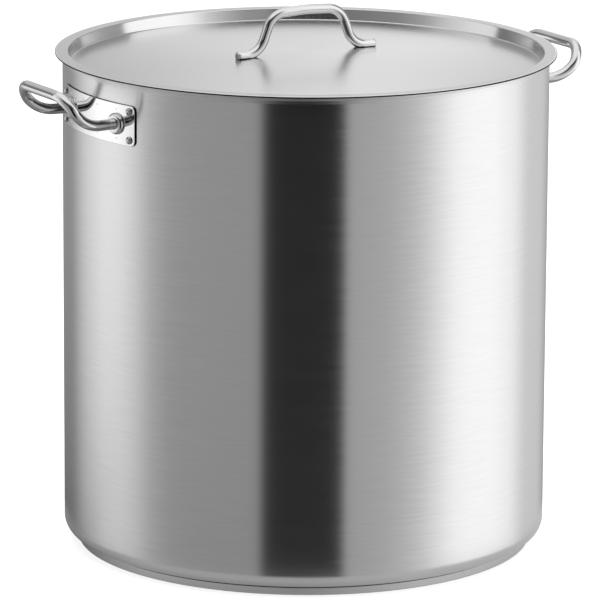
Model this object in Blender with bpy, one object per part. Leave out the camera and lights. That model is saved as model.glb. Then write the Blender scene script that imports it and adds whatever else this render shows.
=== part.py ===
"""Stainless stock pot with a sandwich base, two riveted side handles and a lift-off lid.

Frame: metres, +Z up, origin at the centre of the underside. The side handles lie along X.
Everything here works as a plain model; the fine surface is made elsewhere.
"""
import math

import bmesh
import bpy
from mathutils import Matrix, Vector

MM = 0.001
GAP = 0.3 * MM                       # clearance between pieces that touch on the real pot

# Pot body: one drawn shell with a rounded lower corner and a thickened rim.
BODY_RADIUS = 250 * MM
RIM_HEIGHT = 512.6 * MM              # from the floor to the top of the rim
WALL = 1.0 * MM
CORNER_RADIUS = 15 * MM
RIM_BEAD_HEIGHT = 3.6 * MM
RIM_BEAD_PROUD = 0.5 * MM

# Sandwich base: an aluminium disc held in a stainless cap.
BASE_RADIUS = 235.5 * MM
BASE_HEIGHT = 8.9 * MM
BASE_SHEET = 0.6 * MM
BASE_EDGE_RADIUS = 1.6 * MM

# Lid: a flat flange on the rim, a short wall inside it, and a slightly domed panel.
LID_SHEET = 1.2 * MM
FLANGE_RADIUS = 257.8 * MM
FLANGE_INNER_RADIUS = 244.3 * MM
LID_WALL_DEPTH = 12 * MM
LID_WALL_DRAFT = 2.3 * MM
LID_FILLET = 2.2 * MM
DOME_RISE = 10 * MM

# Lid handle: a bent round rod with its feet turned out and ground flat.
LID_ROD_RADIUS = 5 * MM
LID_ROD_END = 81.5 * MM              # half the length from foot end to foot end
LID_ROD_FOOT = 55.6 * MM             # half the distance between the foot bends
LID_ROD_TOP = 40.3 * MM              # half the distance between the top bends
LID_ROD_RISE = 40.2 * MM
LID_ROD_CROWN = 2.3 * MM
LID_ROD_FOOT_BEND = 22.4 * MM
LID_ROD_TOP_BEND = 21.7 * MM
LID_ROD_AXIS_LIFT = 2.0 * MM         # rod axis above the lid at the ground-flat feet

# Side handles: a curved plate, a bent tube, a domed ferrule round each leg, and rivets.
HANDLE_HEIGHT = 468.6 * MM
PLATE_THICKNESS = 1.5 * MM
PLATE_HALF_ANGLE = math.radians(17.0)
PLATE_HALF_HEIGHT = 20.5 * MM
PLATE_CORNER = 5.5 * MM
RIVET_ANGLE = math.radians(15.3)
RIVET_OFFSET_Z = 14.5 * MM
RIVET_SHANK_RADIUS = 2.4 * MM
RIVET_HEAD_RADIUS = 3.9 * MM
RIVET_HEAD_HEIGHT = 2.5 * MM
RIVET_TAIL_HEIGHT = 1.5 * MM
TUBE_RADIUS = 5.5 * MM
TUBE_BORE_RADIUS = 4.3 * MM
LEG_ROOT_OFFSET = 48.2 * MM          # half the distance between the legs at the pot wall
LEG_TIP_OFFSET = 54.8 * MM           # the same where the legs would meet the grip
LEG_LENGTH = 69.2 * MM               # along the tube's slope, from the wall to the grip
GRIP_CORNER = 23.4 * MM
LEG_LEVEL_RUN = 16.7 * MM            # the legs leave the wall level for this length,
LEG_RISE_RADIUS = 36.4 * MM          # then curve up on this radius
LEG_RISE_ANGLE = math.radians(59.1)  # to this slope
FERRULE_RADIUS = 11 * MM
FERRULE_HEIGHT = 4 * MM

# Facets.
ROUND_SEGMENTS = 72
ROD_SIDES = 12
FERRULE_SEGMENTS = 16
RIVET_SEGMENTS = 12
PLATE_STRIPS = 12

# Derived sizes.
BODY_FLOOR = BASE_HEIGHT + GAP
LID_SEAT = RIM_HEIGHT + GAP
FLANGE_TOP = LID_SEAT + LID_SHEET
PANEL_EDGE = FLANGE_TOP - LID_WALL_DEPTH
PANEL_RADIUS = FLANGE_INNER_RADIUS - LID_WALL_DRAFT
PLATE_INNER_RADIUS = BODY_RADIUS + GAP
PLATE_OUTER_RADIUS = PLATE_INNER_RADIUS + PLATE_THICKNESS
HOLE_RADIUS = RIVET_SHANK_RADIUS + GAP
TAIL_SEAT = BODY_RADIUS - WALL - 0.5 * MM


def clear_scene():
    for thing in list(bpy.data.objects):
        bpy.data.objects.remove(thing, do_unlink=True)


def steel(name, shade, roughness):
    """A metal with a near-neutral colour."""
    material = bpy.data.materials.new(name)
    material.use_nodes = True
    shader = material.node_tree.nodes["Principled BSDF"]
    shader.inputs["Base Color"].default_value = (shade, shade, shade * 1.01, 1.0)
    shader.inputs["Metallic"].default_value = 1.0
    shader.inputs["Roughness"].default_value = roughness
    return material


def arc(centre, radius, start, end, steps):
    """Points on an arc in the plane of (radius, height), angles in degrees."""
    angles = [math.radians(start + (end - start) * i / steps) for i in range(steps + 1)]
    return [(centre[0] + radius * math.cos(a), centre[1] + radius * math.sin(a)) for a in angles]


def new_object(name, bm, material, parent=None, crease=40):
    """Turns a bmesh into a named object with its faces pointing out."""
    bmesh.ops.recalc_face_normals(bm, faces=bm.faces)
    mesh = bpy.data.meshes.new(name)
    bm.to_mesh(mesh)
    bm.free()
    mesh.shade_smooth()
    mesh.set_sharp_from_angle(angle=math.radians(crease))
    mesh.materials.append(material)
    thing = bpy.data.objects.new(name, mesh)
    thing.parent = parent
    bpy.context.scene.collection.objects.link(thing)
    return thing


def turned(outline, segments, closed=False):
    """A solid of revolution about Z from (radius, height) points.

    An open outline starts and ends on the axis; a closed one goes round a ring's section.
    """
    bm = bmesh.new()
    verts = [bm.verts.new((r, 0.0, z)) for r, z in outline]
    edges = [bm.edges.new(pair) for pair in zip(verts, verts[1:])]
    if closed:
        edges.append(bm.edges.new((verts[-1], verts[0])))
    bmesh.ops.spin(
        bm, geom=verts + edges, cent=(0, 0, 0), axis=(0, 0, 1), dvec=(0, 0, 0),
        angle=math.tau, steps=segments, use_merge=True, use_duplicate=False,
    )
    bmesh.ops.remove_doubles(bm, verts=bm.verts, dist=1e-7)
    return bm


def rounded_path(corners, radii, steps):
    """A run of straight lines whose inner corners are rounded, each on its own radius."""
    points = [Vector(corners[0])]
    for before, corner, after, radius in zip(corners, corners[1:], corners[2:], radii):
        corner = Vector(corner)
        back = (Vector(before) - corner).normalized()
        on = (Vector(after) - corner).normalized()
        half = back.angle(on) / 2
        centre = corner + (back + on).normalized() * (radius / math.sin(half))
        start = corner + back * (radius / math.tan(half)) - centre
        end = corner + on * (radius / math.tan(half)) - centre
        for i in range(steps + 1):
            points.append(centre + start.slerp(end, i / steps).normalized() * radius)
    points.append(Vector(corners[-1]))
    return points


def sweep(path, section):
    """Rings of vertices along a path; section is a list of (side, up) offsets."""
    bm = bmesh.new()
    rings = []
    side = None
    for i, point in enumerate(path):
        ahead = path[min(i + 1, len(path) - 1)] - path[max(i - 1, 0)]
        ahead.normalize()
        if side is None:
            side = ahead.orthogonal().normalized()
        side = (side - ahead * side.dot(ahead)).normalized()
        up = ahead.cross(side)
        rings.append([bm.verts.new(point + side * a + up * b) for a, b in section])
    return bm, rings


def circle(radius, sides):
    return [
        (radius * math.cos(math.tau * i / sides), radius * math.sin(math.tau * i / sides))
        for i in range(sides)
    ]


def skin(bm, ring_a, ring_b):
    """Quads between two rings of equal length."""
    count = len(ring_a)
    for i in range(count):
        j = (i + 1) % count
        bm.faces.new((ring_a[i], ring_a[j], ring_b[j], ring_b[i]))


def drop_to_cylinder(point, direction, radius):
    """Slides a point along a direction until it lies on the upright cylinder of that radius."""
    a = direction.x ** 2 + direction.y ** 2
    b = point.x * direction.x + point.y * direction.y
    c = point.x ** 2 + point.y ** 2 - radius ** 2
    return point + direction * ((math.sqrt(b * b - a * c) - b) / a)


def pot_body(material, holes):
    inner = BODY_RADIUS - WALL
    inner_corner = CORNER_RADIUS - WALL
    corner = (BODY_RADIUS - CORNER_RADIUS, BODY_FLOOR + CORNER_RADIUS)
    bead = BODY_RADIUS + RIM_BEAD_PROUD
    rim_round = 0.6 * MM
    outline = [(0, BODY_FLOOR)]
    outline += arc(corner, CORNER_RADIUS, -90, 0, 5)
    outline += [
        (BODY_RADIUS, RIM_HEIGHT - RIM_BEAD_HEIGHT - RIM_BEAD_PROUD),
        (bead, RIM_HEIGHT - RIM_BEAD_HEIGHT),
        (bead, RIM_HEIGHT - rim_round),
        (bead - rim_round, RIM_HEIGHT),
        (inner + rim_round / 2, RIM_HEIGHT),
        (inner, RIM_HEIGHT - rim_round / 2),
    ]
    outline += arc(corner, inner_corner, 0, -90, 4)
    outline += [(0, BODY_FLOOR + WALL)]
    body = new_object("pot_body", turned(outline, ROUND_SEGMENTS), material)
    cut_holes(body, holes)
    return body


def base_core(material):
    radius = BASE_RADIUS - BASE_SHEET - GAP
    low = BASE_SHEET + GAP
    outline = [(0, low), (radius - BASE_EDGE_RADIUS, low), (radius, low + BASE_EDGE_RADIUS),
               (radius, BASE_HEIGHT - GAP), (0, BASE_HEIGHT - GAP)]
    return new_object("base_core", turned(outline, ROUND_SEGMENTS), material)


def base_cap(material):
    inner = BASE_RADIUS - BASE_SHEET
    corner = (BASE_RADIUS - BASE_EDGE_RADIUS, BASE_EDGE_RADIUS)
    outline = [(0, 0)]
    outline += arc(corner, BASE_EDGE_RADIUS, -90, 0, 3)
    outline += [(BASE_RADIUS, BASE_HEIGHT), (inner, BASE_HEIGHT)]
    outline += arc(corner, BASE_EDGE_RADIUS - BASE_SHEET, 0, -90, 3)
    outline += [(0, BASE_SHEET)]
    return new_object("base_cap", turned(outline, ROUND_SEGMENTS), material)


def panel_height(radius):
    """Top of the lid's domed panel at a distance from the axis."""
    return PANEL_EDGE + DOME_RISE * (1 - (radius / (PANEL_RADIUS - LID_FILLET)) ** 2)


def lid(material, parent):
    """The lid's sheet: its top side from the centre out, then its underside back in."""
    dome_end = PANEL_RADIUS - LID_FILLET
    dome = [dome_end * i / 5 for i in range(6)]
    wall_tilt = math.degrees(math.atan(LID_WALL_DRAFT / (LID_WALL_DEPTH - 2 * LID_FILLET)))
    low_centre = (dome_end, PANEL_EDGE + LID_FILLET)
    high_centre = (FLANGE_INNER_RADIUS + LID_FILLET, FLANGE_TOP - LID_FILLET)
    edge_centre = (FLANGE_RADIUS - LID_SHEET / 2, FLANGE_TOP - LID_SHEET / 2)
    inside = LID_FILLET - LID_SHEET
    outline = [(r, panel_height(r)) for r in dome]
    outline += arc(low_centre, LID_FILLET, -90, -wall_tilt, 2)[1:]
    outline += arc(high_centre, LID_FILLET, 180 - wall_tilt, 90, 2)
    outline += arc(edge_centre, LID_SHEET / 2, 90, -90, 4)
    outline += arc(high_centre, inside, 90, 180 - wall_tilt, 1)
    outline += arc(low_centre, LID_FILLET + LID_SHEET, -wall_tilt, -90, 2)
    outline += [(r, panel_height(r) - LID_SHEET) for r in reversed(dome[:-1])]
    local = [(r, z - RIM_HEIGHT) for r, z in outline]
    return new_object("lid", turned(local, ROUND_SEGMENTS), material, parent)


def lid_handle(material, parent):
    """The rod runs along X; its feet are ground to the curve of the panel."""
    foot_z = panel_height(LID_ROD_FOOT) + LID_ROD_AXIS_LIFT + GAP
    top_z = foot_z + LID_ROD_RISE
    corners = [
        (-LID_ROD_END, 0, foot_z),
        (-LID_ROD_FOOT, 0, foot_z),
        (-LID_ROD_TOP, 0, top_z),
        (0, 0, top_z + LID_ROD_CROWN),
        (LID_ROD_TOP, 0, top_z),
        (LID_ROD_FOOT, 0, foot_z),
        (LID_ROD_END, 0, foot_z),
    ]
    crown_bend = 200 * MM
    radii = [LID_ROD_FOOT_BEND, LID_ROD_TOP_BEND, crown_bend, LID_ROD_TOP_BEND, LID_ROD_FOOT_BEND]
    path = rounded_path(corners, radii, 5)
    bm, rings = sweep(path, circle(LID_ROD_RADIUS, ROD_SIDES))
    for ring_a, ring_b in zip(rings, rings[1:]):
        skin(bm, ring_a, ring_b)
    bm.faces.new(rings[0])
    bm.faces.new(rings[-1])
    for vert in bm.verts:
        seat = panel_height(math.hypot(vert.co.x, vert.co.y)) + GAP
        vert.co.z = max(vert.co.z, seat) - RIM_HEIGHT
    return new_object("lid_handle", bm, material, parent, crease=60)


def rivet_holes():
    """Cutters for the eight rivet holes, kept in one collection."""
    holes = bpy.data.collections.new("rivet_holes")
    bpy.context.scene.collection.children.link(holes)
    reach = 8 * MM
    for turn in (0, math.pi):
        for angle in (turn - RIVET_ANGLE, turn + RIVET_ANGLE):
            for lift in (-RIVET_OFFSET_Z, RIVET_OFFSET_Z):
                bm = bmesh.new()
                bmesh.ops.create_cone(
                    bm, cap_ends=True, segments=RIVET_SEGMENTS, radius1=HOLE_RADIUS,
                    radius2=HOLE_RADIUS, depth=2 * reach,
                    matrix=rivet_frame(angle, lift),
                )
                mesh = bpy.data.meshes.new("hole")
                bm.to_mesh(mesh)
                bm.free()
                cutter = bpy.data.objects.new("hole", mesh)
                cutter.hide_render = True
                cutter.display_type = "WIRE"
                holes.objects.link(cutter)
    return holes


def cut_holes(thing, holes):
    cut = thing.modifiers.new("rivet holes", "BOOLEAN")
    cut.operation = "DIFFERENCE"
    cut.operand_type = "COLLECTION"
    cut.collection = holes
    cut.solver = "EXACT"


def rivet_frame(angle, lift):
    """A frame on the pot wall whose Z points straight out of it."""
    out = Vector((math.cos(angle), math.sin(angle), 0))
    across = Vector((-math.sin(angle), math.cos(angle), 0))
    up = out.cross(across)
    turn = Matrix((across, up, out)).transposed().to_4x4()
    centre = out * BODY_RADIUS + Vector((0, 0, HANDLE_HEIGHT + lift))
    return Matrix.Translation(centre) @ turn


def handle_plate(name, material, parent, holes):
    """A rounded rectangle of sheet, cut into strips and wrapped round the body."""
    half_length = PLATE_OUTER_RADIUS * PLATE_HALF_ANGLE
    inset = (half_length - PLATE_CORNER, PLATE_HALF_HEIGHT - PLATE_CORNER)
    outline = []
    for k, (sx, sz) in enumerate(((1, -1), (1, 1), (-1, 1), (-1, -1))):
        outline += arc((sx * inset[0], sz * inset[1]), PLATE_CORNER, 90 * k - 90, 90 * k, 4)
    bm = bmesh.new()
    face = bm.faces.new([bm.verts.new((0, u, v)) for u, v in outline])
    grown = bmesh.ops.extrude_face_region(bm, geom=[face])["geom"]
    bmesh.ops.translate(
        bm, verts=[g for g in grown if isinstance(g, bmesh.types.BMVert)],
        vec=(PLATE_THICKNESS, 0, 0),
    )
    for i in range(1, PLATE_STRIPS):
        bmesh.ops.bisect_plane(
            bm, geom=bm.verts[:] + bm.edges[:] + bm.faces[:],
            plane_co=(0, half_length * (2 * i / PLATE_STRIPS - 1), 0), plane_no=(0, 1, 0),
        )
    for vert in bm.verts:
        radius = PLATE_INNER_RADIUS + vert.co.x
        angle = vert.co.y / PLATE_OUTER_RADIUS
        vert.co = (radius * math.cos(angle), radius * math.sin(angle),
                   HANDLE_HEIGHT + vert.co.z)
    bmesh.ops.triangulate(bm, faces=bm.faces)
    plate = new_object(name, bm, material, parent)
    cut_holes(plate, holes)
    return plate


def loop_point(offset, run):
    """Where the handle's flat layout (offset along the wall, run out from it) lies in space."""
    curve_length = LEG_RISE_RADIUS * LEG_RISE_ANGLE
    bend = min(max(run - LEG_LEVEL_RUN, 0) / LEG_RISE_RADIUS, LEG_RISE_ANGLE)
    slope_run = max(run - LEG_LEVEL_RUN - curve_length, 0)
    out = min(run, LEG_LEVEL_RUN) + LEG_RISE_RADIUS * math.sin(bend)
    out += slope_run * math.cos(LEG_RISE_ANGLE)
    rise = LEG_RISE_RADIUS * (1 - math.cos(bend)) + slope_run * math.sin(LEG_RISE_ANGLE)
    return Vector((BODY_RADIUS + out, offset, HANDLE_HEIGHT + rise))


def loop_path():
    """The tube's centre line, from one leg's root round the grip to the other's."""
    corners = [
        (-LEG_ROOT_OFFSET, 0),
        (-LEG_TIP_OFFSET, LEG_LENGTH),
        (LEG_TIP_OFFSET, LEG_LENGTH),
        (LEG_ROOT_OFFSET, 0),
    ]
    flat = rounded_path([(x, y, 0) for x, y in corners], [GRIP_CORNER] * 2, 6)
    leg_steps = 6
    first = [flat[0].lerp(flat[1], i / leg_steps) for i in range(leg_steps)]
    last = [flat[-2].lerp(flat[-1], i / leg_steps) for i in range(1, leg_steps + 1)]
    return [loop_point(p.x, p.y) for p in first + flat[1:-1] + last]


def leg_frame(end):
    """The root of a leg (end -1 or 1) and the direction in which it leaves the wall."""
    lean = (LEG_TIP_OFFSET - LEG_ROOT_OFFSET) / LEG_LENGTH
    direction = Vector((1, end * lean, 0)).normalized()
    root = Vector((BODY_RADIUS, end * LEG_ROOT_OFFSET, HANDLE_HEIGHT))
    return root, direction


def handle_loop(name, material, parent):
    """A bent tube, open at the two ends that stand against the plate."""
    path = loop_path()
    outer_count = ROD_SIDES
    section = circle(TUBE_RADIUS, ROD_SIDES) + circle(TUBE_BORE_RADIUS, ROD_SIDES)
    bm, rings = sweep(path, section)
    for ring_a, ring_b in zip(rings, rings[1:]):
        skin(bm, ring_a[:outer_count], ring_b[:outer_count])
        skin(bm, ring_a[outer_count:], ring_b[outer_count:])
    for ring in (rings[0], rings[-1]):
        skin(bm, ring[:outer_count], ring[outer_count:])
    seat = PLATE_OUTER_RADIUS + GAP
    for ring, end in ((rings[0], -1), (rings[-1], 1)):
        direction = leg_frame(end)[1]
        for vert in ring:
            vert.co = drop_to_cylinder(vert.co, direction, seat)
    return new_object(name, bm, material, parent, crease=60)


def handle_ferrule(name, end, material, parent):
    """A domed ring round a leg; every height is measured from the curve of the plate."""
    bore = TUBE_RADIUS + GAP
    lip = 0.6 * MM
    crown = 60
    radius = (FERRULE_HEIGHT - lip) / math.sin(math.radians(crown))
    outline = [(bore, 0), (FERRULE_RADIUS, 0)]
    outline += arc((FERRULE_RADIUS - radius, lip), radius, 0, crown, 3)
    outline += [(bore, FERRULE_HEIGHT)]
    bm = turned(outline, FERRULE_SEGMENTS, closed=True)
    root, direction = leg_frame(end)
    across = Vector((-direction.y, direction.x, 0))
    turn = Matrix((across, direction.cross(across), direction)).transposed()
    seat = PLATE_OUTER_RADIUS + GAP
    centre = drop_to_cylinder(root, direction, seat)
    for vert in bm.verts:
        height = vert.co.z
        foot = centre + turn @ Vector((vert.co.x, vert.co.y, 0))
        vert.co = drop_to_cylinder(foot, direction, seat) + direction * height
    return new_object(name, bm, material, parent)


def rivet(name, angle, lift, material, parent):
    """A solid rivet through plate and wall: domed head outside, flatter tail inside."""
    seat = PLATE_OUTER_RADIUS + GAP - BODY_RADIUS
    tail = TAIL_SEAT - BODY_RADIUS
    lip = 0.5 * MM
    outline = [
        (0, tail - RIVET_TAIL_HEIGHT),
        (RIVET_HEAD_RADIUS * 0.55, tail - RIVET_TAIL_HEIGHT * 0.9),
        (RIVET_HEAD_RADIUS, tail - lip),
        (RIVET_HEAD_RADIUS, tail),
        (RIVET_SHANK_RADIUS, tail),
        (RIVET_SHANK_RADIUS, seat),
        (RIVET_HEAD_RADIUS, seat),
        (RIVET_HEAD_RADIUS, seat + lip),
        (RIVET_HEAD_RADIUS * 0.8, seat + RIVET_HEAD_HEIGHT * 0.62),
        (RIVET_HEAD_RADIUS * 0.42, seat + RIVET_HEAD_HEIGHT * 0.93),
        (0, seat + RIVET_HEAD_HEIGHT),
    ]
    bm = turned(outline, RIVET_SEGMENTS)
    bmesh.ops.transform(bm, matrix=rivet_frame(angle, lift), verts=bm.verts)
    return new_object(name, bm, material, parent)


def side_handle(side, turn, metals, holes):
    """One riveted handle, built on +X and turned about Z with its empty."""
    mount = bpy.data.objects.new(f"handle_{side}_frame", None)
    mount.rotation_euler.z = turn
    bpy.context.scene.collection.objects.link(mount)
    ends = ("front", "back") if turn == 0 else ("back", "front")
    plate = handle_plate(f"handle_plate_{side}", metals["plate"], mount, holes)
    pieces = [plate, handle_loop(f"handle_loop_{side}", metals["polished"], mount)]
    for end, place in zip((-1, 1), ends):
        pieces.append(
            handle_ferrule(f"handle_ferrule_{side}_{place}", end, metals["polished"], mount)
        )
        for lift, level in ((-RIVET_OFFSET_Z, "lower"), (RIVET_OFFSET_Z, "upper")):
            pieces.append(
                rivet(f"rivet_{side}_{place}_{level}", end * RIVET_ANGLE, lift,
                      metals["rivet"], mount)
            )
    return pieces


def main():
    clear_scene()
    metals = {
        "brushed": steel("body_brushed", 0.62, 0.34),
        "base": steel("base_brushed", 0.66, 0.30),
        "core": steel("core_aluminium", 0.80, 0.45),
        "lid": steel("lid_satin", 0.64, 0.28),
        "polished": steel("handle_polished", 0.70, 0.16),
        "plate": steel("plate_mirror", 0.74, 0.08),
        "rivet": steel("rivet_polished", 0.68, 0.18),
    }
    holes = rivet_holes()
    pot_body(metals["brushed"], holes)
    base_core(metals["core"])
    base_cap(metals["base"])
    side_handle("right", 0, metals, holes)
    side_handle("left", math.pi, metals, holes)

    lift = bpy.data.objects.new("lid_lift_frame", None)
    lift.location = (0, 0, RIM_HEIGHT)
    bpy.context.scene.collection.objects.link(lift)
    lid(metals["lid"], lift)
    lid_handle(metals["polished"], lift)
    bpy.context.view_layer.update()


main()
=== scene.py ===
"""The finished look of the stainless stock pot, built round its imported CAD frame.

Everything is in metres in the CAD frame: +Z up, the side handles along X, the floor at zero.
Each CAD solid that shows is replaced by a finer piece in the same place, whose outside is the
same size to within about a millimetre.
"""

import math

import bmesh
import bpy
from mathutils import Matrix, Vector


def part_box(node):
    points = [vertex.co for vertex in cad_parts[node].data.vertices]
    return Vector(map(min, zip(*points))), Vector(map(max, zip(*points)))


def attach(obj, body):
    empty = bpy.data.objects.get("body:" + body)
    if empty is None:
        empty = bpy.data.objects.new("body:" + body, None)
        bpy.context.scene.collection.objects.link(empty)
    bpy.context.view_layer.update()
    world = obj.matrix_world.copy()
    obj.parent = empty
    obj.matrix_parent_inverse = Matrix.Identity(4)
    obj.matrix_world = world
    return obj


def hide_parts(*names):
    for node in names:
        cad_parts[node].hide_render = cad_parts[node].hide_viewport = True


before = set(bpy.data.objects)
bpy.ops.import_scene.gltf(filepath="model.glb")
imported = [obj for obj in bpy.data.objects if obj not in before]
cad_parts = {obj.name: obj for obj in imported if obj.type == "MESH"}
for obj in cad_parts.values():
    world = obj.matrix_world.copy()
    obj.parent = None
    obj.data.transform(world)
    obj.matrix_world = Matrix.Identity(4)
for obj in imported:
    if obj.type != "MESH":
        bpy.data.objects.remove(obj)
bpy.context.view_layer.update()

MM = 0.001

# Sizes that the CAD boxes give.
BODY_LOW, BODY_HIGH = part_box("pot_body")
LID_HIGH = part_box("lid")[1]
BASE_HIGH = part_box("base_cap")[1]
PLATE_LOW, PLATE_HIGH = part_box("handle_plate_right")
HANDLE_HEIGHT = (PLATE_LOW.z + PLATE_HIGH.z) / 2

# The body shell.
RIM_BEAD_PROUD = 0.5 * MM
RIM_BEAD_HEIGHT = 3.6 * MM
RIM_BAND_HEIGHT = 7.5 * MM           # of the satin band, measured from the top of the rim
RIM_ROUND = 0.6 * MM
BODY_RADIUS = BODY_HIGH.x - RIM_BEAD_PROUD
BODY_WALL = 1.0 * MM
BODY_CORNER = 15 * MM

# The base cap.
BASE_RADIUS = BASE_HIGH.x
BASE_SHEET = 0.6 * MM
BASE_EDGE = 1.6 * MM
SEAM_DROP = 1.0 * MM                 # how far the pan's top stays under its CAD solid's, widening the painted shade ring
SEAM_INSET = 0.15 * MM

# The lid.
LID_SHEET = 1.2 * MM
LID_LIP = 0.6 * MM                   # extra depth of the flange's turned-down edge, under painted shade
FLANGE_RADIUS = LID_HIGH.x
FLANGE_TOP = LID_HIGH.z
FLANGE_WIDTH = 13.5 * MM
FLANGE_INNER_RADIUS = FLANGE_RADIUS - FLANGE_WIDTH
FLANGE_HIGHLIGHT_RING = 2 * MM          # width of the ring of brushed wall steel round the flange: a painted highlight
LID_WALL_DEPTH = 12 * MM
LID_WALL_DRAFT = 2.3 * MM
LID_FILLET = 1.1 * MM
DOME_RISE = 10 * MM
PANEL_EDGE = FLANGE_TOP - LID_WALL_DEPTH
DOME_RADIUS = FLANGE_INNER_RADIUS - LID_WALL_DRAFT - LID_FILLET

# The rod on the lid.
ROD_RADIUS = 5 * MM
ROD_END = 81.5 * MM
ROD_FOOT = 55.6 * MM
ROD_TOP = 40.3 * MM
ROD_RISE = 40.2 * MM
ROD_CROWN = 2.2 * MM
ROD_FOOT_BEND = 22.4 * MM
ROD_TOP_BEND = 21.7 * MM
ROD_CROWN_BEND = 200 * MM
ROD_AXIS_LIFT = 2.0 * MM
ROD_CHAMFER = 1.3 * MM
FOOT_SHADE = 0.7 * MM                 # height of the painted contact shade round each ground foot

# The clearance between pieces that touch on the real pot.
SEAT_GAP = 0.3 * MM

# The side handles.
PLATE_RADIUS = PLATE_HIGH.x
PLATE_THICKNESS = 1.5 * MM
PLATE_HALF_ANGLE = math.asin(PLATE_HIGH.y / PLATE_RADIUS)
PLATE_HALF_HEIGHT = (PLATE_HIGH.z - PLATE_LOW.z) / 2
PLATE_CORNER = 5.5 * MM
PLATE_EDGE = 0.45 * MM
WELD_DIMPLE_RADIUS = 1.15 * MM
WELD_DIMPLE_DEPTH = 0.3 * MM
WELD_DIMPLE_ANGLES = [math.radians(a) for a in (-10.9, -3.4, 3.4, 10.9)]
WELD_DIMPLE_OFFSET_Z = 14.7 * MM
TUBE_RADIUS = 5.5 * MM
TUBE_BORE = 4.3 * MM
LEG_ROOT_OFFSET = 48.2 * MM
LEG_TIP_OFFSET = 54.8 * MM
LEG_LENGTH = 69.0 * MM
GRIP_CORNER = 23.4 * MM
LEG_LEVEL_RUN = 16.7 * MM
LEG_RISE_RADIUS = 36.4 * MM
LEG_RISE_ANGLE = math.radians(59.1)
FERRULE_RADIUS = 11 * MM
FERRULE_HEIGHT = 4 * MM
FERRULE_LIP = 0.7 * MM
FERRULE_EASE = 0.02 * MM             # between the ferrule's bore and the tube
FERRULE_CROWN = 62                   # degrees of arc from the lip to the top of the dome
RIVET_HEAD_RADIUS = 3.9 * MM
RIVET_HEAD_HEIGHT = 2.5 * MM
RIVET_HEAD_RIM = 0.35 * MM
RIVET_TAIL_HEIGHT = 1.5 * MM
RIVET_TAIL_RIM = 0.3 * MM
RIVET_TAIL_GAP = 0.5 * MM
RIVET_SHANK = 2.4 * MM

# Fineness of the meshes.
BODY_SEGMENTS = 288
ROD_SIDES = 40
SMALL_SEGMENTS = 40

# Steel. Noise scales are in features per metre, except the coarse streaks', which is a share of
# the fine streaks' own.
UPRIGHT = 0.25                       # a quarter turn: on a wall, the gloss spreads up and down
COARSE_STREAKS = 0.45
CLOUD_SCALE = 7.0
BUFFING_SCALE = 420.0
BLOTCH_SCALE = 45.0
WAVE_SCALE = 90.0
STREAK_SHARE = 0.8
CLOUD_SHARE = 0.2
BLUE_IN_DARK = 1.012
GREEN_IN_LIGHT = 0.998
BLUE_IN_LIGHT = 1.004

# The camera, in the pot's frame.
CAMERA_AZIMUTH = math.radians(-30.5)
CAMERA_DISTANCE = 5.296
CAMERA_HEIGHT = 1.487
CAMERA_PITCH = math.radians(-13.147)
CAMERA_ROLL = math.radians(0.32)
CAMERA_YAW = math.radians(-0.0525)
CAMERA_LENS = 314.4

# The studio round the pot: brightness by bearing, in degrees from the camera's side, in three
# rings: below the horizon, above it, and higher still.
STUDIO_LOW = (
    (-180, 0.30),
    (-155, 0.34),
    (-144, 0.40),
    (-127, 0.97),
    (-112, 1.27),
    (-98, 1.20),
    (-88, 0.96),
    (-78, 0.60),
    (-68, 0.46),
    (-58, 0.44),
    (-21.9, 0.44),
    (-19.0, 0.03),
    (-15, 0.012),
    (14, 0.012),
    (17.6, 0.03),
    (20.6, 0.55),
    (40, 0.59),
    (50, 0.69),
    (58, 0.83),
    (67, 1.10),
    (76, 1.38),
    (86, 1.48),
    (104, 1.50),
    (116, 1.38),
    (130, 0.90),
    (150, 0.78),
    (165, 0.45),
    (180, 0.30),
)
STUDIO_HIGH = (
    (-180, 0.91),
    (-178, 0.82),
    (-176.5, 0.665),
    (-175, 0.50),
    (-160, 0.48),
    (-146, 0.36),
    (-112, 0.18),
    (-108.8, 0.18),
    (-107.5, 1.02),
    (-92, 0.98),
    (-75, 0.76),
    (-60, 0.44),
    (-47, 0.32),
    (-20, 0.26),
    (-15.5, 0.01),
    (14, 0.01),
    (18, 0.37),
    (32, 0.42),
    (50, 0.78),
    (60, 1.18),
    (70, 1.32),
    (101, 1.32),
    (102.5, 0.38),
    (135, 0.38),
    (150, 0.32),
    (162, 0.58),
    (175, 0.63),
    (177, 0.94),
    (178.8, 1.03),
    (180, 0.91),
)
STUDIO_TOP = (
    (-180, 1.04),
    (-178, 0.97),
    (-175, 0.75),
    (-155, 0.70),
    (-142, 0.65),
    (-109, 0.55),
    (-107, 1.00),
    (-75, 0.70),
    (-58, 0.22),
    (-42, 0.06),
    (30, 0.06),
    (46, 0.30),
    (58, 0.90),
    (68, 1.30),
    (101, 1.30),
    (103, 0.38),
    (140, 0.38),
    (155, 0.80),
    (175, 0.88),
    (178, 1.06),
    (180, 1.04),
)
RAMP_PEAK = 2.0                      # the brightness that white in a ring's ramp stands for
OVERHEAD_LEVEL = 1.12
UNDERFOOT_LEVEL = 0.35

# Where one ring blends into the next, as the height of a direction one unit long.
HORIZON_BLEND = (-0.05, 0.05)
TOP_BLEND = (0.33, 0.42)
OVERHEAD_BLEND = (0.68, 0.86)
UNDERFOOT_BLEND = (-0.5, -0.75)

# The floor: how pale each sheet is, how much it glows and how far it lies under the pot.
FLOOR_RADIUS = 14
FLOOR_PALENESS = 0.45
FLOOR_GLOW = 0.80
FLOOR_DROP = 0.2 * MM
PATCH_RADIUS = 0.30
PATCH_PALENESS = 0.10
PATCH_GLOW = 0.56
PATCH_DROP = 0.1 * MM

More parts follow.
